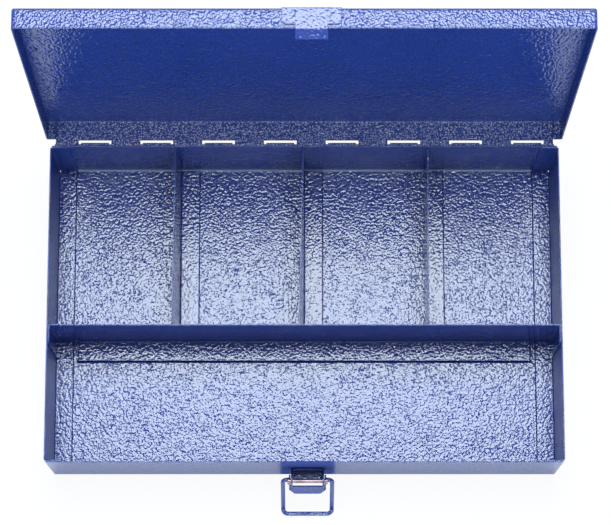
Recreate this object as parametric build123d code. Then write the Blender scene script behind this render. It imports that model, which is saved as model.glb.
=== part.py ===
from build123d import *
import os
from math import acos, asin, atan2, cos, degrees, hypot, radians, sin

# A sheet-steel case with one long and four short compartments, a lid on a rolled-knuckle hinge, and a
# wire-bail draw latch. Millimetres, +X to the right, +Y to the back, +Z up. The origin is the centre of
# the case's underside. The lid is modelled closed and turned to where it stands open.

# Sheet metal
SHEET = 0.8  # thickness of every folded panel
BEND = 0.8  # inside radius of every fold in a panel
OUTER_BEND = BEND + SHEET
SEAM_GAP = 0.3  # room left between panels that meet edge to face
RELIEF = 0.2  # clearance above a floor flange's fold where another panel passes over it

# Case
CASE_WIDTH = 330.0  # over the end plates
CASE_DEPTH = 206.4  # over the front and rear walls
CASE_HEIGHT = 63.0  # table to rim
SHELL_INSET = 1.2  # the shell stops this far short of the end plates' outer faces
END_FLANGE = 12.0  # flanges of the end plates, spot-welded to the shell

# Dividers
DIVIDER_DROP = 3.0  # top edges of the dividers below the rim
LONG_DIVIDER_Y = -14.6  # front face of the long divider
LONG_FOOT = 14.0
LONG_FOOT_GAP = 3.7  # between the end of its foot and an end plate's flange
END_TAB = 12.6
TAB_CORNER = 2.0
CROSS_DIVIDER_X = (-83.2, -1.0, 79.8)  # left faces at the floor
CROSS_FOOT = 13.0
CROSS_LEAN_REAR = (1.0, 0.1, 0.0)  # how far each thin top edge leans to the left at its rear end
CROSS_LEAN_FRONT = (2.4, 2.8, 0.6)  # and at its front end

# Hinge
HINGE_DROP = 6.0  # hinge axis below the rim
KNUCKLE_RADIUS = 1.6  # outside of the rolled knuckles
KNUCKLE_BORE = 0.8
HINGE_GAP = 0.3  # knuckles stand off the rear wall
PIN_CLEARANCE = 0.05  # radial, lid knuckles on the pin
CURL_GAP = 0.3  # between the end of a curl and its own leaf
HINGE_INSET = 3.2  # the hinge stops this far inside each end plate
KNUCKLE_COUNT = 8  # knuckles on the case
CASE_KNUCKLE = 18.1  # length of a case knuckle
LID_WINDOW = 21.3  # length of the lid's cut-out around it
LEFT_KNUCKLE = 14.85  # length of the lid's knuckle at the left end
RIGHT_KNUCKLE = 6.05  # and at the right end
PIN_OVERHANG = 0.8  # the pin stands out of the last knuckle
WINDOW_GAP = 1.3  # between a case knuckle and the far edge of the lid's cut-out
LEAF_HEIGHT = 14.0
LEAF_JOGGLE = 1.5  # height over which the leaf steps off the wall to the knuckles

# Lid
LID_SIDE_GAP = 2.2  # lid flange to case wall, each side
LID_FRONT_GAP = 1.7
LID_OVERLAP = 2.1  # flanges hang this far below the rim when closed
LID_FLANGE = 12.6
LID_OPEN = 93.0  # the lid stands open at this angle
LID_TAB = 13.0  # corner tabs welded behind the rear flange

# Latch, centred at LATCH_X
LATCH_X = 2.0
LATCH_SHEET = 1.0
LATCH_BEND = 0.8
CATCH_SIDE = 2.2  # centre of the catch plate to the right of the latch's
CATCH_WIDTH = 34.4
CATCH_HEIGHT = 10.0
CATCH_CORNER = 2.5
CATCH_DROP = 0.2  # top edge of the catch plate below the lid's top face
TONGUE_WIDTH = 18.8
TONGUE_LENGTH = 6.3
TONGUE_TILT = 20.0
TONGUE_BEND = 1.8
EAR_GAP = 19.2  # between the bracket's ears
EAR_NOSE = 3.6
EAR_ROOT = 14.0
BRACKET_DROP = 22.0  # from the lever's pivot to the bottom of the bracket
SHELF_DEPTH = 6.2
CHEEK_GAP = 0.3  # between an ear and the lever's cheek outside it
LEVER_PIVOT_Y = -9.6  # in front of the front wall
LEVER_PIVOT_DROP = 19.0  # below the rim
LEVER_NOSE = 4.0
PIN_DIAMETER = 2.6
PIN_HEAD = 4.6
PIN_HEAD_HEIGHT = 0.8
PIN_HEAD_CHAMFER = 0.25
HEAD_GAP = 0.1
BAIL_PIVOT_BACK = 1.6  # bail pivot behind the lever pivot
BAIL_PIVOT_DOWN = 6.8  # and below it
BAIL_NOSE = 3.0
TAB_TOP_DOWN = 11.0  # upper edge of the finger tab below the lever pivot
TAB_FORWARD = 2.5  # and in front of it
TAB_TILT = 14.0
TAB_LENGTH = 12.4
TAB_SHOULDER = 5.0  # length of the tab that the cheeks stiffen
TAB_TAPER = 3.5
TAB_CORNER_RADIUS = 1.5
WIRE = 2.8
BAIL_WIDTH = 34.5
BAIL_HOOK = 4.7  # the hooked end's reach over the lid
HOOK_GAP = 0.3  # above the closed lid, latched
BAIL_LEAN = 3.0  # the legs lean back this far, latched
BAIL_BEND = 3.2
BAIL_PIVOT_CLEARANCE = 0.05
REST_GAP = 0.03

# Derived places
INNER_Y = CASE_DEPTH / 2 - SHEET  # inner faces of the front and rear walls
INNER_X = CASE_WIDTH / 2 - SHEET  # inner faces of the end plates
HINGE_Y = CASE_DEPTH / 2 + HINGE_GAP + KNUCKLE_RADIUS
HINGE_Z = CASE_HEIGHT - HINGE_DROP
DIVIDER_TOP = CASE_HEIGHT - DIVIDER_DROP
LONG_DIVIDER_BACK = LONG_DIVIDER_Y + SHEET
LID_LOW = CASE_HEIGHT - LID_OVERLAP
LID_TOP = LID_LOW + LID_FLANGE
LID_X = CASE_WIDTH / 2 + LID_SIDE_GAP + SHEET
LID_FRONT = -CASE_DEPTH / 2 - LID_FRONT_GAP - SHEET
LID_REAR_IN = CASE_DEPTH / 2 + HINGE_GAP
LID_REAR_OUT = LID_REAR_IN + SHEET
WALL_FRONT = -CASE_DEPTH / 2
PIVOT_Y = WALL_FRONT + LEVER_PIVOT_Y
PIVOT_Z = CASE_HEIGHT - LEVER_PIVOT_DROP
BRACKET_BOTTOM = PIVOT_Z - BRACKET_DROP
HINGE_LENGTH = CASE_WIDTH - 2 * HINGE_INSET
KNUCKLE_PITCH = (HINGE_LENGTH - LEFT_KNUCKLE - RIGHT_KNUCKLE - LID_WINDOW) / (KNUCKLE_COUNT - 1)
BAIL_Y = PIVOT_Y + BAIL_PIVOT_BACK
BAIL_Z = PIVOT_Z - BAIL_PIVOT_DOWN
EAR_OUT = EAR_GAP / 2 + LATCH_SHEET
CHEEK_IN = EAR_OUT + CHEEK_GAP
CHEEK_OUT = CHEEK_IN + LATCH_SHEET
HOOK_Z = LID_TOP + HOOK_GAP + WIRE / 2  # centre of the bail's hooked end, latched
BAIL_LEG = (HOOK_Z - BAIL_Z + BAIL_HOOK * sin(radians(BAIL_LEAN))) / cos(radians(BAIL_LEAN))


def along_x(section, start, end):
    """A section drawn in (Y, Z), drawn out from start to end."""
    return extrude(Plane.YZ.offset(start) * section, amount=end - start)


def along_y(section, start, end):
    """A section drawn in (X, Z), drawn out from start to end."""
    return extrude(Plane.XZ.offset(-start) * section, amount=start - end)


def along_z(section, start, end):
    """A section drawn in (X, Y), drawn out from start to end."""
    return extrude(Plane.XY.offset(start) * section, amount=end - start)


def block(x, y, z):
    """A box between two limits in each direction."""
    size = [limits[1] - limits[0] for limits in (x, y, z)]
    return Pos(x[0], y[0], z[0]) * Box(*size, align=(Align.MIN, Align.MIN, Align.MIN))


def folded(points, radius=OUTER_BEND, thickness=SHEET):
    """Section of a folded sheet: the outer surface's corners, with the sheet on the path's left."""
    path = FilletPolyline(*points, radius=radius)
    return make_face(offset(path, amount=thickness, side=Side.LEFT))


def floor_flange(corner, length):
    """Section of a flange lying on the floor, with the fold at its corner; length is away from there."""
    side = 1 if length > 0 else -1
    flat = Rectangle(abs(length) - OUTER_BEND, SHEET)
    flat = Pos(corner + (length + side * OUTER_BEND) / 2, 1.5 * SHEET) * flat
    centre = Pos(corner + side * OUTER_BEND, SHEET + OUTER_BEND)
    quarter = Pos(corner + side * OUTER_BEND / 2, SHEET + OUTER_BEND / 2)
    fold = centre * (Circle(OUTER_BEND) - Circle(BEND))
    return flat + (fold & quarter * Rectangle(OUTER_BEND, OUTER_BEND))


def rod_x(radius, y, z, start, end):
    """A round bar along X."""
    return along_x(Pos(y, z) * Circle(radius), start, end)


def base_shell():
    """Floor, front wall and rear wall folded from one sheet."""
    half_depth = CASE_DEPTH / 2
    rim = [(-half_depth, CASE_HEIGHT), (-half_depth, 0), (half_depth, 0), (half_depth, CASE_HEIGHT)]
    half_width = CASE_WIDTH / 2 - SHELL_INSET
    return along_x(folded(rim), -half_width, half_width)


def right_end_plate():
    """End plate with a flange on the floor and one against each wall."""
    outer = CASE_WIDTH / 2
    inner = outer - END_FLANGE
    plan = [(inner, -INNER_Y), (outer, -INNER_Y), (outer, INNER_Y), (inner, INNER_Y)]
    fold_line = SHEET + OUTER_BEND
    plate = along_z(folded(plan), fold_line, CASE_HEIGHT)
    reach = INNER_Y - OUTER_BEND
    return plate + along_y(floor_flange(outer, -END_FLANGE), -reach, reach)


def long_divider():
    """Divider between the long compartment and the four short ones, with a foot and two end tabs."""
    back, low = LONG_DIVIDER_BACK, SHEET + OUTER_BEND + RELIEF
    front = back - END_TAB
    plan = [(-INNER_X, front), (-INNER_X, back), (INNER_X, back), (INNER_X, front)]
    upper = along_z(folded(plan[::-1]), low, DIVIDER_TOP)
    for end in (-1, 1):
        nose = end * (INNER_X - SHEET / 2)
        corner = block((nose - SHEET, nose + SHEET), (front, front + TAB_CORNER), (DIVIDER_TOP - TAB_CORNER, DIVIDER_TOP))
        round_end = Pos(front + TAB_CORNER, DIVIDER_TOP - TAB_CORNER) * Circle(TAB_CORNER)
        upper -= corner - along_x(round_end, nose - SHEET, nose + SHEET)
    profile = [(back - LONG_FOOT, SHEET), (back, SHEET), (back, low + SHEET)]
    foot_end = CASE_WIDTH / 2 - END_FLANGE - LONG_FOOT_GAP
    return upper + along_x(folded(profile), -foot_end, foot_end)


def cross_divider(index):
    """Short divider with a foot to its right; its free top edge leans a little."""
    left = CROSS_DIVIDER_X[index]
    fold_top = SHEET + OUTER_BEND
    front, rear = LONG_DIVIDER_BACK + SEAM_GAP, INNER_Y - SEAM_GAP
    foot_rear = INNER_Y - BEND - SEAM_GAP  # the foot stops short of the rear wall's fold
    foot = along_y(floor_flange(left, CROSS_FOOT), front, foot_rear)
    ends = [(front, CROSS_LEAN_FRONT[index]), (rear, CROSS_LEAN_REAR[index])]
    low = [(left, front), (left + SHEET, front), (left + SHEET, rear), (left, rear)]
    high = [(left - lean, y) for y, lean in ends]
    high = [high[0], (high[0][0] + SHEET, front), (high[1][0] + SHEET, rear), high[1]]
    sections = [Plane.XY.offset(fold_top) * make_face(Polyline(*low, close=True))]
    sections.append(Plane.XY.offset(DIVIDER_TOP) * make_face(Polyline(*high, close=True)))
    return foot + loft(sections, ruled=True)


def knuckle_ends(length):
    """Start and end in X of the eight places in the knuckle pattern."""
    first = -HINGE_LENGTH / 2 + LEFT_KNUCKLE + LID_WINDOW / 2
    centres = [first + KNUCKLE_PITCH * n for n in range(KNUCKLE_COUNT)]
    return [(centre - length / 2, centre + length / 2) for centre in centres]


def curl(bore, leaf_up):
    """Section of a knuckle rolled from a leaf that meets it on its front side."""
    ring = Circle(KNUCKLE_RADIUS) - Circle(bore)
    side = 1 if leaf_up else -1
    mouth_width = KNUCKLE_RADIUS - (bore - CURL_GAP)
    mouth = Pos(-KNUCKLE_RADIUS + mouth_width / 2, side * KNUCKLE_RADIUS / 2)
    wrap = ring - mouth * Rectangle(mouth_width, KNUCKLE_RADIUS)
    stem = Pos(-(KNUCKLE_RADIUS + bore) / 2, side * KNUCKLE_RADIUS / 2)
    return Pos(HINGE_Y, HINGE_Z) * (wrap + stem * Rectangle(KNUCKLE_RADIUS - bore, KNUCKLE_RADIUS))


def hinge_strip():
    """Case half of the hinge: a leaf welded behind the rear wall, with eight knuckles rolled from it."""
    wall, front = CASE_DEPTH / 2, HINGE_Y - KNUCKLE_RADIUS
    back = HINGE_Y - KNUCKLE_BORE + PIN_CLEARANCE
    thickness = back - front
    top = HINGE_Z - KNUCKLE_RADIUS
    free_top = top - SEAM_GAP
    step = free_top - LEAF_JOGGLE
    bottom = HINGE_Z - LEAF_HEIGHT
    outline = [(wall, bottom), (wall, step - LEAF_JOGGLE), (front, step), (front, free_top)]
    outline += [(y + thickness, z) for y, z in reversed(outline)]
    strip = along_x(make_face(Polyline(*outline, close=True)), -HINGE_LENGTH / 2, HINGE_LENGTH / 2)
    stem = Pos(front + thickness / 2, (free_top + top) / 2) * Rectangle(thickness, top - free_top)
    knuckle = curl(KNUCKLE_BORE - PIN_CLEARANCE, leaf_up=False) + stem
    for start, end in knuckle_ends(CASE_KNUCKLE):
        strip += along_x(knuckle, start, end)
    return strip


def hinge_pin():
    """Wire pin through all the knuckles, gripped by the case's."""
    radius = KNUCKLE_BORE - PIN_CLEARANCE
    half = HINGE_LENGTH / 2 + PIN_OVERHANG
    pin = rod_x(radius, HINGE_Y, HINGE_Z, -half, half)
    return chamfer(pin.edges().filter_by(GeomType.CIRCLE), radius / 3)


def lid_pan():
    """Top plate with its front and side flanges, and the side flanges' corner tabs at the rear."""
    rear = LID_REAR_OUT + SHEET
    outside = block((-LID_X, LID_X), (LID_FRONT, rear), (LID_LOW, LID_TOP))
    outside = fillet(outside.edges().filter_by(Axis.Z), OUTER_BEND)
    outside = fillet(outside.faces().sort_by(Axis.Z)[-1].edges(), OUTER_BEND)
    hollow_top = LID_TOP - SHEET
    inside = block((SHEET - LID_X, LID_X - SHEET), (LID_FRONT + SHEET, LID_REAR_OUT), (LID_LOW - SHEET, hollow_top))
    inside = fillet(inside.faces().sort_by(Axis.Z)[-1].edges(), BEND)
    pan = outside - inside
    half, tab = HINGE_LENGTH / 2, LID_X - LID_TAB
    pan -= block((-half, half), (LID_REAR_IN - OUTER_BEND, LID_REAR_OUT), (LID_LOW, LID_TOP))
    pan -= block((-half, half), (LID_REAR_IN - OUTER_BEND, rear), (LID_TOP - OUTER_BEND, LID_TOP))
    return pan - block((-tab, tab), (LID_REAR_IN - OUTER_BEND, rear), (LID_LOW, LID_TOP))


def lid_rear_flange():
    """Rear flange between the corner tabs, cut away around the case knuckles and rolled between them."""
    inner_bend = LID_REAR_IN - OUTER_BEND
    window_top = HINGE_Z + KNUCKLE_RADIUS + WINDOW_GAP
    sheet_path = [(inner_bend - SHEET, LID_TOP), (LID_REAR_OUT, LID_TOP), (LID_REAR_OUT, window_top)]
    section = make_face(offset(FilletPolyline(*sheet_path, radius=OUTER_BEND), amount=SHEET, side=Side.RIGHT))
    half = HINGE_LENGTH / 2
    flange = along_x(section, -half, half)
    stem_height = window_top - HINGE_Z - KNUCKLE_RADIUS
    stem = Pos(LID_REAR_IN + SHEET / 2, window_top - stem_height / 2) * Rectangle(SHEET, stem_height)
    knuckle = curl(KNUCKLE_BORE, leaf_up=True) + stem
    windows = knuckle_ends(LID_WINDOW)
    starts = [-half] + [end for _, end in windows]
    ends = [start for start, _ in windows] + [half]
    for start, end in zip(starts, ends):
        flange += along_x(knuckle, start, end)
    return flange


def lid_shell():
    """The lid's single sheet, closed."""
    return lid_pan() + lid_rear_flange()


def catch_plate():
    """Plate on the lid's front flange that the bail hooks over, with a tongue bent towards the wall."""
    outer = LID_FRONT - LATCH_SHEET
    top = LID_TOP - CATCH_DROP
    low = top - CATCH_HEIGHT
    centre = LATCH_X + CATCH_SIDE
    outline = Pos(centre, (top + low) / 2) * Rectangle(CATCH_WIDTH, CATCH_HEIGHT)
    outline = fillet(outline.vertices().group_by(Axis.Y)[0], CATCH_CORNER)
    head = along_y(outline, outer, LID_FRONT)
    bend_z = LID_LOW - SEAM_GAP
    drop = TONGUE_LENGTH * cos(radians(TONGUE_TILT))
    back = TONGUE_LENGTH * sin(radians(TONGUE_TILT))
    path = [(outer, top - CATCH_CORNER), (outer, bend_z), (outer + back, bend_z - drop)]
    half = TONGUE_WIDTH / 2
    tongue = along_x(folded(path, TONGUE_BEND, LATCH_SHEET), centre - half, centre + half)
    return head + tongue


def opened(closed_piece):
    """A piece of the lid turned about the hinge from closed to where the lid stands open."""
    return closed_piece.rotate(Axis((0, HINGE_Y, HINGE_Z), (1, 0, 0)), -LID_OPEN)


def latch_bracket():
    """Channel on the front wall: a back, two ears for the lever's pin, and a shelf between them."""
    nose = Pos(PIVOT_Y, PIVOT_Z) * Circle(EAR_NOSE)
    root = Pos(WALL_FRONT - SHELF_DEPTH / 2, BRACKET_BOTTOM + LATCH_SHEET / 2) * Rectangle(SHELF_DEPTH, LATCH_SHEET)
    wall_side = Pos(WALL_FRONT - LATCH_SHEET / 2, BRACKET_BOTTOM + EAR_ROOT / 2) * Rectangle(LATCH_SHEET, EAR_ROOT)
    ear = make_hull(nose.edges() + root.edges() + wall_side.edges())
    reach = PIVOT_Y - EAR_NOSE
    plan = [(-EAR_OUT, reach), (-EAR_OUT, WALL_FRONT), (EAR_OUT, WALL_FRONT), (EAR_OUT, reach)]
    plan = [(LATCH_X + x, y) for x, y in reversed(plan)]
    top = PIVOT_Z + EAR_NOSE
    channel = along_z(folded(plan, LATCH_BEND + LATCH_SHEET, LATCH_SHEET), BRACKET_BOTTOM, top)
    channel &= along_x(ear, LATCH_X - EAR_OUT, LATCH_X + EAR_OUT)
    half = EAR_GAP / 2
    floor = (BRACKET_BOTTOM, BRACKET_BOTTOM + LATCH_SHEET)
    shelf = block((LATCH_X - half, LATCH_X + half), (WALL_FRONT - SHELF_DEPTH, WALL_FRONT - LATCH_SHEET), floor)
    bore = rod_x(PIN_DIAMETER / 2, PIVOT_Y, PIVOT_Z, LATCH_X - EAR_OUT, LATCH_X + EAR_OUT)
    return channel + shelf - bore


def latch_lever():
    """Two cheeks outside the ears, joined low down in front by a tapered finger tab."""
    tilt = radians(TAB_TILT)
    tab_top = (LATCH_X, PIVOT_Y - TAB_FORWARD, PIVOT_Z - TAB_TOP_DOWN)
    down = Plane(origin=tab_top, x_dir=(1, 0, 0), z_dir=(0, -sin(tilt), -cos(tilt)))
    reach = TAB_TOP_DOWN + LEVER_NOSE
    depth = TAB_FORWARD + LEVER_NOSE + BAIL_PIVOT_BACK + BAIL_NOSE
    plan = [(-CHEEK_OUT, -depth), (-CHEEK_OUT, 0), (CHEEK_OUT, 0), (CHEEK_OUT, -depth)]
    section = make_face(
        offset(FilletPolyline(*plan, radius=LATCH_BEND + LATCH_SHEET), amount=LATCH_SHEET, side=Side.RIGHT)
    )
    channel = extrude(down.offset(-reach) * section, amount=reach + TAB_SHOULDER)
    channel -= extrude(down.offset(-reach) * Pos(0, -depth / 2 + CHEEK_GAP) * Rectangle(2 * CHEEK_IN, depth + 2 * CHEEK_GAP), amount=reach)
    noses = (Pos(PIVOT_Y, PIVOT_Z) * Circle(LEVER_NOSE)).edges() + (Pos(BAIL_Y, BAIL_Z) * Circle(BAIL_NOSE)).edges()
    step = Plane(origin=(tab_top[1], tab_top[2]), x_dir=(-sin(tilt), -cos(tilt), 0))
    root = step * Pos(TAB_SHOULDER / 2, LATCH_BEND) * Rectangle(TAB_SHOULDER, 2 * (LATCH_SHEET + LATCH_BEND))
    profile = make_hull(noses + root.edges())
    channel &= along_x(profile, LATCH_X - CHEEK_OUT, LATCH_X + CHEEK_OUT)
    tip = CHEEK_OUT - TAB_TAPER
    outline = [(-CHEEK_OUT + LATCH_BEND, TAB_SHOULDER - SEAM_GAP), (-CHEEK_OUT, TAB_SHOULDER), (-tip, TAB_LENGTH)]
    outline += [(-x, z) for x, z in reversed(outline)]
    face = Plane(origin=tab_top, x_dir=(1, 0, 0), z_dir=(0, -cos(tilt), sin(tilt)))
    sheet = make_face(Polyline(*[(x, -z) for x, z in outline], close=True))
    sheet = fillet(sheet.vertices().group_by(Axis.Y)[0], TAB_CORNER_RADIUS)
    tab = extrude(face * sheet, amount=-LATCH_SHEET)
    lever = channel + tab
    lever -= rod_x(PIN_DIAMETER / 2 + PIN_CLEARANCE, PIVOT_Y, PIVOT_Z, LATCH_X - CHEEK_OUT, LATCH_X + CHEEK_OUT)
    bail_bore = WIRE / 2 + BAIL_PIVOT_CLEARANCE
    return lever - rod_x(bail_bore, BAIL_Y, BAIL_Z, LATCH_X - CHEEK_OUT, LATCH_X + CHEEK_OUT)


def lever_pin():
    """Plated pin pressed through the ears, with a head outside each cheek."""
    head = CHEEK_OUT + HEAD_GAP
    end = head + PIN_HEAD_HEIGHT
    pin = rod_x(PIN_DIAMETER / 2, PIVOT_Y, PIVOT_Z, LATCH_X - end, LATCH_X + end)
    for side in (-1, 1):
        limits = sorted((LATCH_X + side * head, LATCH_X + side * end))
        button = rod_x(PIN_HEAD / 2, PIVOT_Y, PIVOT_Z, *limits)
        outer = button.faces().sort_by(Axis.X)[0 if side < 0 else -1]
        pin += chamfer(outer.edges(), PIN_HEAD_CHAMFER)
    return pin


def bail_rest_angle():
    """Angle of the bail's legs from straight down, forward, with their ends on the table."""
    drop = BAIL_Z - WIRE / 2 - REST_GAP
    return acos(min(1, drop / BAIL_LEG))


def wire_run(points):
    """Wire bent through a line of points."""
    path = FilletPolyline(*points, radius=BAIL_BEND)
    section = Plane(origin=path @ 0, z_dir=path % 0) * Circle(WIRE / 2)
    return sweep(section, path=path)


def bail():
    """Wire loop pivoted in the lever's cheeks, with its far end cranked to hook over the lid."""
    angle = bail_rest_angle()
    pivot = Vector(LATCH_X, BAIL_Y, BAIL_Z)
    leg = Vector(0, -sin(angle), -cos(angle)) * BAIL_LEG
    hook = Vector(0, -cos(angle), sin(angle)) * BAIL_HOOK
    sides = [Vector(side * (BAIL_WIDTH - WIRE) / 2, 0, 0) for side in (-1, 1)]
    left_end, right_end = [pivot + side + leg for side in sides]
    wire = wire_run([left_end, left_end + hook, right_end + hook, right_end])
    for side, end in zip(sides, (left_end, right_end)):
        inner = side * (CHEEK_IN / abs(side.X))
        wire += wire_run([pivot + inner, pivot + side, end])
        wire += Pos(end) * Sphere(WIRE / 2)
    return wire


def main():
    os.makedirs("parts", exist_ok=True)
    right_plate = right_end_plate()
    parts = {
        "base_shell": base_shell(),
        "right_end_plate": right_plate,
        "left_end_plate": mirror(right_plate, about=Plane.YZ),
        "long_divider": long_divider(),
        "cross_divider_left": cross_divider(0),
        "cross_divider_middle": cross_divider(1),
        "cross_divider_right": cross_divider(2),
        "hinge_strip": hinge_strip(),
        "hinge_pin": hinge_pin(),
        "lid_shell": opened(lid_shell()),
        "catch_plate": opened(catch_plate()),
        "latch_bracket": latch_bracket(),
        "latch_lever": latch_lever(),
        "lever_pin": lever_pin(),
        "bail": bail(),
    }
    for name, part in parts.items():
        export_step(part, f"parts/{name}.step")
        print(name, len(part.solids()), part.bounding_box())


main()
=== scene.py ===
import math

import bpy
from mathutils import Euler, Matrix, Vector


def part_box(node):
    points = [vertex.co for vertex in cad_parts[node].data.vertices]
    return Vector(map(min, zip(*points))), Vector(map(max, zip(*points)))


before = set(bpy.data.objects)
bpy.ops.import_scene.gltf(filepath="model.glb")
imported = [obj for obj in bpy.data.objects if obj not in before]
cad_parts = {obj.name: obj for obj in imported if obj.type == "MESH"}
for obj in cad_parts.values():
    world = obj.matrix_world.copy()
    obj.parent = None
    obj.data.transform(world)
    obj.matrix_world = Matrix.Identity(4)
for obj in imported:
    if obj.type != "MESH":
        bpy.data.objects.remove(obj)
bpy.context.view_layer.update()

bl_info = {
    "name": "Drill bit case",
    "version": (1, 0, 0),
    "blender": (4, 5, 0),
    "location": "View3D > Sidebar > Bit case",
    "description": "Finishes a hammer-painted sheet-steel bit case and sets it on a studio table",
    "category": "Object",
}

# Lines and patches in the enamel, in metres; the seams carry painted shade, the fold line and the sparkles
# painted highlight
FLOOR_SHEET = 0.0008  # thickness of the floor and of each flange on it
FLANGE_END = 0.0024  # from the outside of the case to the ends of the flanges' free edges
FOOT_GAP = 0.0037  # between an end plate's flange and the long divider's foot
WIDE_SEAM = 0.0014
NARROW_SEAM = 0.0005
FOLD_LINE = 0.0020
POOL_SIDE = 0.0035  # how far the dull patch reaches past the latch's bracket on each side
POOL_BOTTOM = 0.006
POOL_RISE = 0.02  # how far it reaches over the bracket
POOL_FADE = 0.005
SPARKLE_TOP = 0.075  # pale spots of painted sparkle highlight lie only below this height
SPARKLE_FADE = 0.005

# Relief of the hammer pattern, in pebble heights
UNEVEN_PEBBLES = 0.7  # least height of a pebble, before up to one more
RIPPLE_HEIGHT = 1.2
GRAIN_HEIGHT = 0.4
PIT_SLOPE = 9.0
SEAM_DEPTH = 12.0

# Size of a pit and reach of a pebble, in pebble sizes
PEBBLE_REACH = 0.6
LEAST_PIT = 0.10
PIT_VARIATION = 0.45

# Shares by which the enamel changes colour and loses gloss
HOLLOW_SHARE = 0.35
CLOUD_SHARE = 0.35
CLOUD_LIGHTENING = 1.12
# Seams: dark joints where the enamel lies thick, darkened further by painted shade in their crevices
SEAM_SHADE = 0.25
HOLLOW_DULLING = 0.04
EDGE_DULLING = 0.12
POOL_DULLING = 0.9
GLOSS_TINT = (0.87, 0.96, 0.99, 1.0)
STAIN_DARKENING = 0.55

# Stage
WHITE = (1.0, 1.0, 1.0, 1.0)
TABLE_DROP = 0.0001
MIRRORED_TABLE = 0.2  # how white the table is where gloss mirrors it
WHITENED_TABLE = 0.93  # and where the camera sees it
MIRRORED_ROOM = 0.55
FILL_PLACE = (0, -1.6, 0.8)
FILL_TARGET = (0, 0, 0.1)
FILL_SIZE = 0.8


# ---------------------------------------------------------------- lines on the case


def floor_seams():
    """The free edges of the flanges on the case's floor, each as (low corner, high corner, half width)."""
    base_low, base_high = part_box("base_shell")
    plate_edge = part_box("right_end_plate")[0].x
    foot_low, foot_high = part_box("long_divider")
    z = FLOOR_SHEET
    front, rear = base_low.y + FLANGE_END, base_high.y - FLANGE_END
    foot_end = plate_edge - FOOT_GAP
    seams = [((-foot_end, foot_low.y, z), (foot_end, foot_low.y, z), WIDE_SEAM)]
    for side in (-1, 1):
        x = side * plate_edge
        seams.append(((x, front, z), (x, rear, z), NARROW_SEAM))
        x = side * foot_end
        seams.append(((x, foot_low.y, z), (x, foot_high.y, z), NARROW_SEAM))
    for name in ("cross_divider_left", "cross_divider_middle", "cross_divider_right"):
        low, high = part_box(name)
        seams.append(((high.x, low.y, z), (high.x, rear, z), NARROW_SEAM))
    return seams


def rear_fold():
    """Where a pale line of painted highlight runs along the fold between the case's floor and its rear wall, in
    the same form.
    """
    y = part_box("base_shell")[1].y - FLOOR_SHEET
    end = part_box("right_end_plate")[0].x - FOLD_LINE
    return [((-end, y, FLOOR_SHEET), (end, y, FLOOR_SHEET), FOLD_LINE)]


def bracket_pool():
    """The dull enamel on the front wall round the latch's bracket, in the same form."""
    low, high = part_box("latch_bracket")
    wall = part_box("base_shell")[0].y
    low_corner = (low.x - POOL_SIDE, wall, POOL_BOTTOM)
    high_corner = (high.x + POOL_SIDE, wall, high.z + POOL_RISE)
    return [(low_corner, high_corner, POOL_FADE)]


# ---------------------------------------------------------------- settings


class BitCasePaint(bpy.types.PropertyGroup):
    """Hammer-finish enamel"""

    colour: bpy.props.FloatVectorProperty(
        name="Enamel colour", description="Colour of the enamel in full light",
        subtype="COLOR", size=4, min=0.0, max=1.0, default=(0.015, 0.046, 0.275, 1.0))
    deep_colour: bpy.props.FloatVectorProperty(
        name="Deep colour", description="Colour where the enamel lies thick, in hollows and along seams",
        subtype="COLOR", size=4, min=0.0, max=1.0, default=(0.007, 0.021, 0.150, 1.0))
    # Lighter colour on edges: partly thin enamel, partly a painted highlight along folds and cut edges
    edge_highlight_colour: bpy.props.FloatVectorProperty(
        name="Edge highlight colour", description="Colour where the enamel draws thin over folds and cut edges",
        subtype="COLOR", size=4, min=0.0, max=1.0, default=(0.080, 0.140, 0.400, 1.0))
    # Painted highlight: a pale line standing for the gloss that the fold at the foot of the rear wall catches
    fold_highlight_colour: bpy.props.FloatVectorProperty(
        name="Fold highlight colour", description="Colour of the pale line along the fold at the foot of the rear wall",
        subtype="COLOR", size=4, min=0.0, max=1.0, default=(0.20, 0.28, 0.52, 1.0))
    # Painted highlight: pale spots on level faces that stand for the hammer finish's glints by the hinge and on
    # the bail
    sparkle_colour: bpy.props.FloatVectorProperty(
        name="Sparkle colour", description="Colour of the pale flakes in the enamel by the hinge and on the bail",
        subtype="COLOR", size=4, min=0.0, max=1.0, default=(0.34, 0.43, 0.68, 1.0))
    pebble: bpy.props.FloatProperty(
        name="Pebble size", description="Size of one pebble of the hammer pattern",
        unit="LENGTH", subtype="DISTANCE", min=0.0005, max=0.01, default=0.0017)
    depth: bpy.props.FloatProperty(
        name="Pebble depth", description="Height of the pebbles over the hollows between them",
        unit="LENGTH", subtype="DISTANCE", min=0.0, max=0.001, default=0.000052)
    roughness: bpy.props.FloatProperty(
        name="Gloss roughness", description="Roughness of the enamel's gloss",
        subtype="FACTOR", min=0.0, max=1.0, default=0.05)
    pit_dulling: bpy.props.FloatProperty(
        name="Pit dulling", description="Roughness added in the small pits between the pebbles",
        subtype="FACTOR", min=0.0, max=1.0, default=0.10)
    gloss: bpy.props.FloatProperty(
        name="Gloss index", description="Refractive index, which sets how strongly the enamel mirrors",
        min=1.0, max=4.0, default=1.56)


class BitCasePlating(bpy.types.PropertyGroup):
    """Zinc-plated steel of the pins"""

    colour: bpy.props.FloatVectorProperty(
        name="Plating colour", description="Colour of the plated pins",
        subtype="COLOR", size=4, min=0.0, max=1.0, default=(0.26, 0.21, 0.23, 1.0))
    roughness: bpy.props.FloatProperty(
        name="Plating roughness", description="Roughness of the plating",
        subtype="FACTOR", min=0.0, max=1.0, default=0.28)


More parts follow.
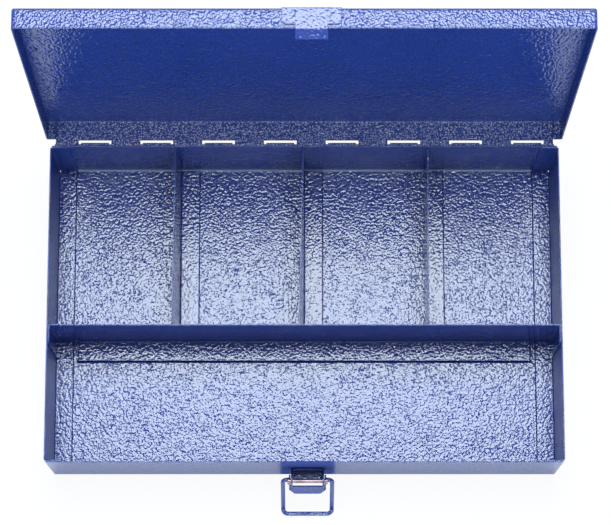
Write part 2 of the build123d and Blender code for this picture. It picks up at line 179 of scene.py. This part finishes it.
class BitCaseStage(bpy.types.PropertyGroup):
    """Table, light and camera"""

    table_colour: bpy.props.FloatVectorProperty(
        name="Table colour", description="Colour of the table top",
        subtype="COLOR", size=4, min=0.0, max=1.0, default=(0.74, 0.84, 0.97, 1.0))
    table_size: bpy.props.FloatProperty(
        name="Table size", description="Side of the square table top",
        unit="LENGTH", subtype="DISTANCE", min=1.0, max=40.0, default=12.0)
    softbox_power: bpy.props.FloatProperty(
        name="Softbox power", description="Power of the softbox overhead",
        unit="POWER", min=0.0, max=500.0, default=43.5)
    softbox_width: bpy.props.FloatProperty(
        name="Softbox width", description="Size of the softbox from left to right",
        unit="LENGTH", subtype="DISTANCE", min=0.1, max=5.0, default=1.00)
    softbox_length: bpy.props.FloatProperty(
        name="Softbox length", description="Size of the softbox from front to back",
        unit="LENGTH", subtype="DISTANCE", min=0.1, max=5.0, default=1.05)
    softbox_height: bpy.props.FloatProperty(
        name="Softbox height", description="Height of the softbox over the table",
        unit="LENGTH", subtype="DISTANCE", min=0.5, max=5.0, default=1.9)
    softbox_back: bpy.props.FloatProperty(
        name="Softbox position", description="Distance of the softbox's centre behind the case's centre",
        unit="LENGTH", subtype="DISTANCE", min=-2.0, max=2.0, default=0.52)
    fill_power: bpy.props.FloatProperty(
        name="Fill power", description="Power of the fill light at the front",
        unit="POWER", min=0.0, max=500.0, default=13.0)
    room_light: bpy.props.FloatProperty(
        name="Room light", description="Strength of the light from all round",
        min=0.0, max=2.0, default=0.35)
    camera_position: bpy.props.FloatVectorProperty(
        name="Camera position", description="Where the camera stands",
        unit="LENGTH", subtype="TRANSLATION", size=3, default=(0.0007, -0.3090, 1.6699))
    camera_elevation: bpy.props.FloatProperty(
        name="Camera elevation", description="Angle by which the camera looks down",
        unit="ROTATION", subtype="ANGLE", default=math.radians(78.23))
    camera_lens: bpy.props.FloatProperty(
        name="Camera lens", description="Focal length in millimetres on a 36 mm sensor",
        min=10.0, max=500.0, default=150.5)


# ---------------------------------------------------------------- node helpers


FLOAT = "NodeSocketFloat"
VECTOR = "NodeSocketVector"


class Nodes:
    """Adds nodes to one tree, left to right, and links them by socket."""

    def __init__(self, tree):
        self.tree = tree
        self.column = 0

    def add(self, kind, inputs=None, **settings):
        node = self.tree.nodes.new(kind)
        self.column += 1
        node.location = (self.column * 180, -40 * (self.column % 5))
        for key, value in settings.items():
            setattr(node, key, value)
        for key, value in (inputs or {}).items():
            if isinstance(value, bpy.types.NodeSocket):
                self.tree.links.new(value, node.inputs[key])
            else:
                node.inputs[key].default_value = value
        return node

    def math(self, operation, first, second=0.0, third=0.0):
        node = self.add("ShaderNodeMath", {0: first, 1: second, 2: third}, operation=operation)
        return node.outputs[0]

    def vector(self, operation, first, second=(0.0, 0.0, 0.0), scale=None):
        node = self.add("ShaderNodeVectorMath", {0: first, 1: second}, operation=operation)
        if scale is not None:
            if isinstance(scale, bpy.types.NodeSocket):
                self.tree.links.new(scale, node.inputs["Scale"])
            else:
                node.inputs["Scale"].default_value = scale
        return node.outputs["Value"] if operation in ("LENGTH", "DOT_PRODUCT") else node.outputs["Vector"]

    def noise(self, vector, scale, detail=0.0, roughness=0.5):
        inputs = {"Vector": vector, "Scale": scale, "Detail": detail, "Roughness": roughness}
        return self.add("ShaderNodeTexNoise", inputs)

    def ramp(self, value, low, high, smooth=True):
        """0 at low, 1 at high, clamped."""
        settings = {"interpolation_type": "SMOOTHSTEP" if smooth else "LINEAR"}
        inputs = {"Value": value, "From Min": low, "From Max": high, "To Min": 0.0, "To Max": 1.0}
        return self.add("ShaderNodeMapRange", inputs, **settings).outputs["Result"]

    def mix(self, factor, first, second):
        """Mixes two colours."""
        node = self.add("ShaderNodeMix", data_type="RGBA")
        for socket, value in (("Factor_Float", factor), ("A_Color", first), ("B_Color", second)):
            target = next(s for s in node.inputs if s.identifier == socket)
            if isinstance(value, bpy.types.NodeSocket):
                self.tree.links.new(value, target)
            else:
                target.default_value = value
        return next(s for s in node.outputs if s.identifier == "Result_Color")


def new_group(name, inputs, outputs):
    """An empty shader node group with named sockets, each (name, kind) or (name, kind, default)."""
    group = bpy.data.node_groups.new(name, "ShaderNodeTree")
    for socket in inputs:
        made = group.interface.new_socket(name=socket[0], in_out="INPUT", socket_type=socket[1])
        if len(socket) > 2:
            made.default_value = socket[2]
    for socket in outputs:
        group.interface.new_socket(name=socket[0], in_out="OUTPUT", socket_type=socket[1])
    nodes = Nodes(group)
    source = nodes.add("NodeGroupInput")
    sink = group.nodes.new("NodeGroupOutput")
    sink.location = (3000, 0)
    return group, nodes, source.outputs, sink.inputs


def hammer_group():
    """Surface of hammer-finish enamel: its height, and masks of its hollows, pits, spots of painted sparkle
    highlight and clouds.
    """
    name = "Hammer finish"
    if name in bpy.data.node_groups:
        return bpy.data.node_groups[name]
    inputs = [
        ("Coordinate", VECTOR), ("Pebble size", FLOAT, 0.0019), ("Pitting", FLOAT, 1.0), ("Wander", FLOAT, 0.9)]
    outputs = [
        ("Height", FLOAT), ("Hollows", FLOAT), ("Pits", FLOAT), ("Sparkle glints", FLOAT), ("Clouds", FLOAT)]
    group, nodes, source, sink = new_group(name, inputs, outputs)
    density = nodes.math("DIVIDE", 1.0, source["Pebble size"])
    scaled = nodes.vector("SCALE", source["Coordinate"], scale=density)
    drift = nodes.noise(scaled, 0.55, detail=1.0).outputs["Color"]
    wander = nodes.vector("SCALE", nodes.vector("SUBTRACT", drift, (0.5, 0.5, 0.5)), scale=source["Wander"])
    bent = nodes.vector("ADD", scaled, wander)

    cells = nodes.add(
        "ShaderNodeTexVoronoi", {"Vector": bent, "Scale": 1.0, "Smoothness": 0.25, "Randomness": 1.0},
        feature="SMOOTH_F1")
    reach = nodes.math("DIVIDE", cells.outputs["Distance"], PEBBLE_REACH)
    dome = nodes.math("SUBTRACT", 1.0, nodes.math("POWER", reach, 2.0))
    swell = nodes.math("ADD", nodes.noise(scaled, 0.45).outputs["Fac"], UNEVEN_PEBBLES)
    height = nodes.math("MULTIPLY", dome, swell)
    ripple = nodes.noise(bent, 0.7, detail=1.0, roughness=0.4).outputs["Fac"]
    height = nodes.math("ADD", height, nodes.math("MULTIPLY", ripple, RIPPLE_HEIGHT))

    pits = nodes.add("ShaderNodeTexVoronoi", {"Vector": scaled, "Scale": 1.1, "Randomness": 1.0}, feature="F1")
    patch = nodes.noise(scaled, 0.16, detail=1.0).outputs["Fac"]
    pit_size = nodes.math("MULTIPLY_ADD", patch, PIT_VARIATION, LEAST_PIT)
    pit = nodes.math("MAXIMUM", nodes.math("SUBTRACT", pit_size, pits.outputs["Distance"]), 0.0)
    pit = nodes.math("MULTIPLY", pit, source["Pitting"])
    height = nodes.math("SUBTRACT", height, nodes.math("MULTIPLY", pit, PIT_SLOPE))

    grain = nodes.noise(scaled, 1.6).outputs["Fac"]
    height = nodes.math("ADD", height, nodes.math("MULTIPLY", grain, GRAIN_HEIGHT))
    # Spots for the painted sparkle highlight
    sparkles = nodes.add(
        "ShaderNodeTexVoronoi", {"Vector": scaled, "Scale": 1.15, "Randomness": 1.0}, feature="F1")
    clouds = nodes.noise(scaled, 0.06, detail=2.0, roughness=0.6).outputs["Fac"]

    link = group.links.new
    link(height, sink["Height"])
    link(nodes.ramp(reach, 0.55, 1.05), sink["Hollows"])
    link(nodes.ramp(pit, 0.0, 0.08), sink["Pits"])
    link(nodes.ramp(sparkles.outputs["Distance"], 0.46, 0.28), sink["Sparkle glints"])
    link(nodes.ramp(clouds, 0.25, 0.75), sink["Clouds"])
    return group


def seam_group():
    """Mask of a line or a flat box, given its two end corners, that fades out over a width."""
    name = "Seam line"
    if name in bpy.data.node_groups:
        return bpy.data.node_groups[name]
    inputs = [("Coordinate", VECTOR), ("Low end", VECTOR), ("High end", VECTOR), ("Width", FLOAT, 0.0005)]
    group, nodes, source, sink = new_group(name, inputs, [("Mask", FLOAT)])
    total = nodes.vector("ADD", source["Low end"], source["High end"])
    centre = nodes.vector("SCALE", total, scale=0.5)
    span = nodes.vector("SUBTRACT", source["High end"], source["Low end"])
    half = nodes.vector("ABSOLUTE", nodes.vector("SCALE", span, scale=0.5))
    offset = nodes.vector("ABSOLUTE", nodes.vector("SUBTRACT", source["Coordinate"], centre))
    outside = nodes.vector("MAXIMUM", nodes.vector("SUBTRACT", offset, half))
    distance = nodes.vector("LENGTH", outside)
    group.links.new(nodes.ramp(distance, source["Width"], 0.0, smooth=False), sink["Mask"])
    return group


def edge_group():
    """Mask of folds and cut edges, where enamel draws thin and a painted highlight is laid, broken up a little,
    and their rounded normal.
    """
    name = "Thin edges"
    if name in bpy.data.node_groups:
        return bpy.data.node_groups[name]
    inputs = [("Coordinate", VECTOR), ("Radius", FLOAT, 0.0008), ("Break-up size", FLOAT, 0.003)]
    group, nodes, source, sink = new_group(name, inputs, [("Mask", FLOAT), ("Rounded normal", VECTOR)])
    rounded = nodes.add("ShaderNodeBevel", {"Radius": source["Radius"]}, samples=4).outputs["Normal"]
    group.links.new(rounded, sink["Rounded normal"])
    flat = nodes.add("ShaderNodeNewGeometry").outputs["True Normal"]
    turn = nodes.math("SUBTRACT", 1.0, nodes.vector("DOT_PRODUCT", rounded, flat))
    edge = nodes.ramp(turn, 0.02, 0.22)
    density = nodes.math("DIVIDE", 1.0, source["Break-up size"])
    scaled = nodes.vector("SCALE", source["Coordinate"], scale=density)
    patches = nodes.noise(scaled, 1.0, detail=2.0).outputs["Fac"]
    broken = nodes.math("MULTIPLY_ADD", nodes.ramp(patches, 0.35, 0.6), 0.6, 0.4)
    group.links.new(nodes.math("MULTIPLY", edge, broken), sink["Mask"])
    return group


def place_group(nodes, group, inputs):
    """Puts a node group in a material."""
    node = nodes.add("ShaderNodeGroup", node_tree=group)
    for key, value in inputs.items():
        if isinstance(value, bpy.types.NodeSocket):
            nodes.tree.links.new(value, node.inputs[key])
        else:
            node.inputs[key].default_value = value
    return node.outputs


def new_material(name):
    """A material with a Principled shader, and its node helper."""
    material = bpy.data.materials.new(name)
    material.use_nodes = True
    tree = material.node_tree
    tree.nodes.clear()
    nodes = Nodes(tree)
    output = tree.nodes.new("ShaderNodeOutputMaterial")
    output.location = (3400, 0)
    shader = tree.nodes.new("ShaderNodeBsdfPrincipled")
    shader.location = (3000, 0)
    tree.links.new(shader.outputs["BSDF"], output.inputs["Surface"])
    return material, nodes, shader


def own_facing(nodes):
    """The direction that a face has in its own piece, which stays the same when a joint turns the piece."""
    normal = nodes.add("ShaderNodeNewGeometry").outputs["True Normal"]
    own_normal = nodes.add(
        "ShaderNodeVectorTransform", {"Vector": normal}, vector_type="NORMAL", convert_from="WORLD",
        convert_to="OBJECT")
    return nodes.add("ShaderNodeSeparateXYZ", {0: own_normal.outputs["Vector"]}).outputs


def line_mask(nodes, coordinate, lines):
    """Mask of one or more lines, each as (low corner, high corner, half width)."""
    mask = None
    for low, high, width in lines:
        line = place_group(nodes, seam_group(), {
            "Coordinate": coordinate, "Low end": low, "High end": high, "Width": width})["Mask"]
        mask = line if mask is None else nodes.math("MAXIMUM", mask, line)
    return mask


def shade(colour, factor):
    """A colour made darker or lighter."""
    return tuple(min(1.0, channel * factor) for channel in colour[:3]) + (1.0,)


def enamel(name, paint, pebble_scale=1.0, depth_scale=1.0, dulling=0.0, rounding=0.0010, thin_edge_highlight=0.5,
           pitting=0.0, sparkles=0.0, plate_scale=None, seams=(), folds=(), pools=()):
    """Blue hammer-finish enamel.

    plate_scale stretches the pattern on faces that look forward or back, pitting is for level faces and
    dulling for upright ones. Seams are dark joint lines with painted shade in their crevices, folds pale lines
    of painted highlight, sparkles pale spots of painted highlight, and pools dull patches.
    """
    material, nodes, shader = new_material(name)
    link = nodes.tree.links.new
    coordinate = nodes.add("ShaderNodeTexCoord").outputs["Object"]
    facing = own_facing(nodes)
    level = nodes.ramp(nodes.math("ABSOLUTE", facing["Z"]), 0.2, 0.7)
    upright = nodes.math("SUBTRACT", 1.0, level)
    spread, lift = coordinate, None
    if plate_scale:
        broad = nodes.ramp(nodes.math("ABSOLUTE", facing["Y"]), 0.6, 0.8)
        change = nodes.vector("MULTIPLY", coordinate, tuple(1 / scale - 1 for scale in plate_scale))
        spread = nodes.vector("ADD", coordinate, nodes.vector("SCALE", change, scale=broad))
        lift = nodes.math("MULTIPLY_ADD", broad, plate_scale[0] - 1, 1.0)
    hammer = place_group(nodes, hammer_group(), {
        "Coordinate": spread, "Pebble size": paint.pebble * pebble_scale,
        "Pitting": nodes.math("MULTIPLY", level, pitting)})
    rims = place_group(nodes, edge_group(), {"Coordinate": coordinate, "Radius": rounding})
    height = hammer["Height"] if lift is None else nodes.math("MULTIPLY", hammer["Height"], lift)

    colour = nodes.mix(nodes.math("MULTIPLY", hammer["Hollows"], HOLLOW_SHARE), paint.colour, paint.deep_colour)
    # Painted sparkle highlight: pale spots on level faces below a given height
    if sparkles:
        z = nodes.add("ShaderNodeSeparateXYZ", {0: coordinate}).outputs["Z"]
        low_down = nodes.math("MULTIPLY", nodes.ramp(z, SPARKLE_TOP + SPARKLE_FADE, SPARKLE_TOP), level)
        shown = nodes.math("MULTIPLY", nodes.math("MULTIPLY", hammer["Sparkle glints"], low_down), sparkles)
        colour = nodes.mix(shown, colour, paint.sparkle_colour)
    # Seams: thick enamel in the joints, and painted shade darkening their crevices
    if seams:
        mask = line_mask(nodes, coordinate, seams)
        colour = nodes.mix(nodes.ramp(mask, 0.05, 0.4), colour, shade(paint.deep_colour, SEAM_SHADE))
        height = nodes.math("SUBTRACT", height, nodes.math("MULTIPLY", mask, SEAM_DEPTH))
    clouds = nodes.math("MULTIPLY", hammer["Clouds"], CLOUD_SHARE)
    colour = nodes.mix(clouds, colour, shade(paint.colour, CLOUD_LIGHTENING))
    # Painted highlight: a pale line along the fold at the foot of the rear wall
    if folds:
        mask = line_mask(nodes, coordinate, folds)
        colour = nodes.mix(nodes.ramp(mask, 0.0, 0.7), colour, paint.fold_highlight_colour)
    # Edges and folds turn lighter: thinner enamel there, and a painted highlight along them
    colour = nodes.mix(nodes.math("MULTIPLY", rims["Mask"], thin_edge_highlight), colour, paint.edge_highlight_colour)
    link(colour, shader.inputs["Base Color"])

    rough = nodes.math("ADD", nodes.math("MULTIPLY", hammer["Hollows"], HOLLOW_DULLING), paint.roughness)
    rough = nodes.math("ADD", rough, nodes.math("MULTIPLY", hammer["Pits"], paint.pit_dulling))
    rough = nodes.math("ADD", rough, nodes.math("MULTIPLY", upright, dulling))
    rough = nodes.math("ADD", rough, nodes.math("MULTIPLY", rims["Mask"], EDGE_DULLING))
    if pools:
        pooled = nodes.ramp(line_mask(nodes, coordinate, pools), 0.0, 0.8)
        rough = nodes.math("ADD", rough, nodes.math("MULTIPLY", pooled, POOL_DULLING))
    link(rough, shader.inputs["Roughness"])

    bump = nodes.add("ShaderNodeBump", {
        "Height": height, "Strength": 1.0, "Distance": paint.depth * depth_scale,
        "Normal": rims["Rounded normal"]})
    link(bump.outputs["Normal"], shader.inputs["Normal"])
    shader.inputs["IOR"].default_value = paint.gloss
    shader.inputs["Specular Tint"].default_value = GLOSS_TINT
    return material


def plated_steel(name, plating):
    """Bright plating with fine turning marks round the pin and faint stains."""
    material, nodes, shader = new_material(name)
    link = nodes.tree.links.new
    coordinate = nodes.add("ShaderNodeTexCoord").outputs["Object"]
    turned = nodes.add("ShaderNodeMapping", {"Vector": coordinate, "Scale": (6000.0, 300.0, 300.0)})
    marks = nodes.noise(turned.outputs["Vector"], 1.0, detail=2.0).outputs["Fac"]
    stains = nodes.ramp(nodes.noise(coordinate, 260.0, detail=3.0).outputs["Fac"], 0.35, 0.7)
    link(nodes.mix(stains, shade(plating.colour, STAIN_DARKENING), plating.colour), shader.inputs["Base Color"])
    link(nodes.math("ADD", nodes.math("MULTIPLY", marks, 0.2), plating.roughness), shader.inputs["Roughness"])
    bump = nodes.add("ShaderNodeBump", {"Height": marks, "Strength": 0.5, "Distance": 0.00002})
    link(bump.outputs["Normal"], shader.inputs["Normal"])
    shader.inputs["Metallic"].default_value = 1.0
    return material


def finish(names, material):
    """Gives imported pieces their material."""
    for name in names:
        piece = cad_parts[name]
        piece.data.materials.clear()
        piece.data.materials.append(material)


# ---------------------------------------------------------------- operators


class BITCASE_OT_case(bpy.types.Operator):
    """Paints the case: shell, end plates and dividers"""

    bl_idname = "bitcase.case"
    bl_label = "Paint the case"

    def execute(self, context):
        paint = context.scene.bitcase_paint
        shell = enamel(
            "hammered_floor", paint, pitting=1.0, seams=floor_seams(), folds=rear_fold(), pools=bracket_pool())
        finish(["base_shell"], shell)
        plates = enamel("hammered_plates", paint, depth_scale=1.1, dulling=0.25, pitting=0.2)
        finish(["left_end_plate", "right_end_plate"], plates)
        dividers = enamel("hammered_dividers", paint, depth_scale=0.9, dulling=0.10)
        names = ["long_divider", "cross_divider_left", "cross_divider_middle", "cross_divider_right"]
        finish(names, dividers)
        return {"FINISHED"}


class BITCASE_OT_hinge(bpy.types.Operator):
    """Paints the case's half of the hinge and plates its pin"""

    bl_idname = "bitcase.hinge"
    bl_label = "Finish the hinge"

    def execute(self, context):
        scene = context.scene
        strip = enamel("hammered_hinge", scene.bitcase_paint, pebble_scale=0.62, depth_scale=1.2, sparkles=1.0)
        finish(["hinge_strip"], strip)
        finish(["hinge_pin"], plated_steel("plated_hinge_pin", scene.bitcase_plating))
        return {"FINISHED"}


class BITCASE_OT_lid(bpy.types.Operator):
    """Paints the lid and its catch plate"""

    bl_idname = "bitcase.lid"
    bl_label = "Paint the lid"

    def execute(self, context):
        paint = context.scene.bitcase_paint
        lid = enamel(
            "hammered_lid", paint, pebble_scale=0.80, depth_scale=1.5, rounding=0.0018, thin_edge_highlight=0.15, sparkles=1.0,
            plate_scale=(1.3, 1.3, 2.4))
        finish(["lid_shell"], lid)
        finish(["catch_plate"], enamel("hammered_catch", paint))
        return {"FINISHED"}


class BITCASE_OT_latch(bpy.types.Operator):
    """Finishes the latch: bracket, lever, pin and bail"""

    bl_idname = "bitcase.latch"
    bl_label = "Finish the latch"

    def execute(self, context):
        scene = context.scene
        paint = scene.bitcase_paint
        latch = enamel("hammered_latch", paint, pebble_scale=0.6, depth_scale=0.8, thin_edge_highlight=0.4)
        finish(["latch_bracket", "latch_lever"], latch)
        bail = enamel("hammered_bail", paint, pebble_scale=0.7, depth_scale=1.6, thin_edge_highlight=0.0, sparkles=1.0)
        finish(["bail"], bail)
        finish(["lever_pin"], plated_steel("plated_lever_pin", scene.bitcase_plating))
        return {"FINISHED"}


class BITCASE_OT_stage(bpy.types.Operator):
    """Sets the table, the light and the camera"""

    bl_idname = "bitcase.stage"
    bl_label = "Set the stage"

    def execute(self, context):
        stage = context.scene.bitcase_stage
        self.table(context.scene, stage)
        self.room(context.scene, stage)
        self.lamps(context.scene, stage)
        self.camera(context.scene, stage)
        context.scene.view_settings.view_transform = "Standard"
        return {"FINISHED"}

    def table(self, scene, stage):
        half = stage.table_size / 2
        mesh = bpy.data.meshes.new("table_top")
        corners = [(-half, -half, 0), (half, -half, 0), (half, half, 0), (-half, half, 0)]
        mesh.from_pydata(corners, [], [(0, 1, 2, 3)])
        table = bpy.data.objects.new("table_top", mesh)
        table.location.z = -TABLE_DROP
        scene.collection.objects.link(table)
        material = bpy.data.materials.new("pale_table")
        material.use_nodes = True
        tree = material.node_tree
        tree.nodes.clear()
        nodes = Nodes(tree)
        top = nodes.add("ShaderNodeBsdfDiffuse", {"Color": stage.table_colour})
        white = nodes.add("ShaderNodeEmission", {"Color": WHITE, "Strength": 1.0})
        path = nodes.add("ShaderNodeLightPath").outputs
        mirrored = nodes.math("MAXIMUM", path["Is Glossy Ray"], path["Is Transmission Ray"])
        share = nodes.math("MULTIPLY", mirrored, MIRRORED_TABLE)
        share = nodes.math("MAXIMUM", share, nodes.math("MULTIPLY", path["Is Camera Ray"], WHITENED_TABLE))
        blend = nodes.add("ShaderNodeMixShader", {0: share, 1: top.outputs[0], 2: white.outputs[0]})
        nodes.add("ShaderNodeOutputMaterial", {"Surface": blend.outputs[0]})
        mesh.materials.append(material)

    def room(self, scene, stage):
        world = bpy.data.worlds.new("studio_room")
        scene.world = world
        world.use_nodes = True
        world.node_tree.nodes.clear()
        nodes = Nodes(world.node_tree)
        path = nodes.add("ShaderNodeLightPath").outputs
        direct = nodes.math("MAXIMUM", path["Is Camera Ray"], path["Is Transmission Ray"])
        seen = nodes.math("MAXIMUM", direct, path["Is Glossy Ray"])
        shown = nodes.math("MAXIMUM", direct, nodes.math("MULTIPLY", path["Is Glossy Ray"], MIRRORED_ROOM))
        rest = nodes.math("MULTIPLY", nodes.math("SUBTRACT", 1.0, seen), stage.room_light)
        strength = nodes.math("ADD", shown, rest)
        light = nodes.add("ShaderNodeBackground", {"Color": WHITE, "Strength": strength})
        nodes.add("ShaderNodeOutputWorld", {"Surface": light.outputs[0]})

    def lamp(self, scene, name, place, target, power, width, length):
        """An area light at a place, turned to a target."""
        data = bpy.data.lights.new(name, "AREA")
        data.shape = "RECTANGLE"
        data.size = width
        data.size_y = length
        data.energy = power
        lamp = bpy.data.objects.new(name, data)
        lamp.location = place
        lamp.rotation_euler = (Vector(target) - Vector(place)).to_track_quat("-Z", "Y").to_euler()
        scene.collection.objects.link(lamp)

    def lamps(self, scene, stage):
        top, back = stage.softbox_height, stage.softbox_back
        self.lamp(
            scene, "softbox", (0, back, top), (0, back, 0), stage.softbox_power,
            stage.softbox_width, stage.softbox_length)
        self.lamp(scene, "front_fill", FILL_PLACE, FILL_TARGET, stage.fill_power, FILL_SIZE, FILL_SIZE)

    def camera(self, scene, stage):
        data = bpy.data.cameras.new("camera")
        data.sensor_width = 36.0
        data.lens = stage.camera_lens
        data.clip_start = 0.01
        data.clip_end = 50.0
        camera = bpy.data.objects.new("camera", data)
        camera.location = Vector(stage.camera_position)
        camera.rotation_euler = Euler((math.pi / 2 - stage.camera_elevation, 0.0, 0.0))
        scene.collection.objects.link(camera)
        scene.camera = camera


class BITCASE_PT_panel(bpy.types.Panel):
    """Lists the case's finishes and the stage"""

    bl_idname = "BITCASE_PT_panel"
    bl_label = "Drill bit case"
    bl_space_type = "VIEW_3D"
    bl_region_type = "UI"
    bl_category = "Bit case"

    def draw(self, context):
        layout = self.layout
        for title, group, operators in SECTIONS:
            box = layout.box()
            box.label(text=title)
            settings = getattr(context.scene, group)
            for key in type(settings).__annotations__:
                box.prop(settings, key)
            for operator in operators:
                box.operator(operator)


SECTIONS = (
    ("Enamel", "bitcase_paint", ("bitcase.case", "bitcase.lid", "bitcase.latch")),
    ("Plating", "bitcase_plating", ("bitcase.hinge",)),
    ("Stage", "bitcase_stage", ("bitcase.stage",)),
)

CLASSES = (
    BitCasePaint, BitCasePlating, BitCaseStage,
    BITCASE_OT_case, BITCASE_OT_hinge, BITCASE_OT_lid, BITCASE_OT_latch, BITCASE_OT_stage,
    BITCASE_PT_panel,
)


def register():
    for item in CLASSES:
        bpy.utils.register_class(item)
    bpy.types.Scene.bitcase_paint = bpy.props.PointerProperty(type=BitCasePaint)
    bpy.types.Scene.bitcase_plating = bpy.props.PointerProperty(type=BitCasePlating)
    bpy.types.Scene.bitcase_stage = bpy.props.PointerProperty(type=BitCaseStage)


def unregister():
    del bpy.types.Scene.bitcase_stage
    del bpy.types.Scene.bitcase_plating
    del bpy.types.Scene.bitcase_paint
    for item in reversed(CLASSES):
        bpy.utils.unregister_class(item)


def main():
    register()
    bpy.ops.bitcase.case()
    bpy.ops.bitcase.hinge()
    bpy.ops.bitcase.lid()
    bpy.ops.bitcase.latch()
    bpy.ops.bitcase.stage()


if __name__ == "__main__":
    main()
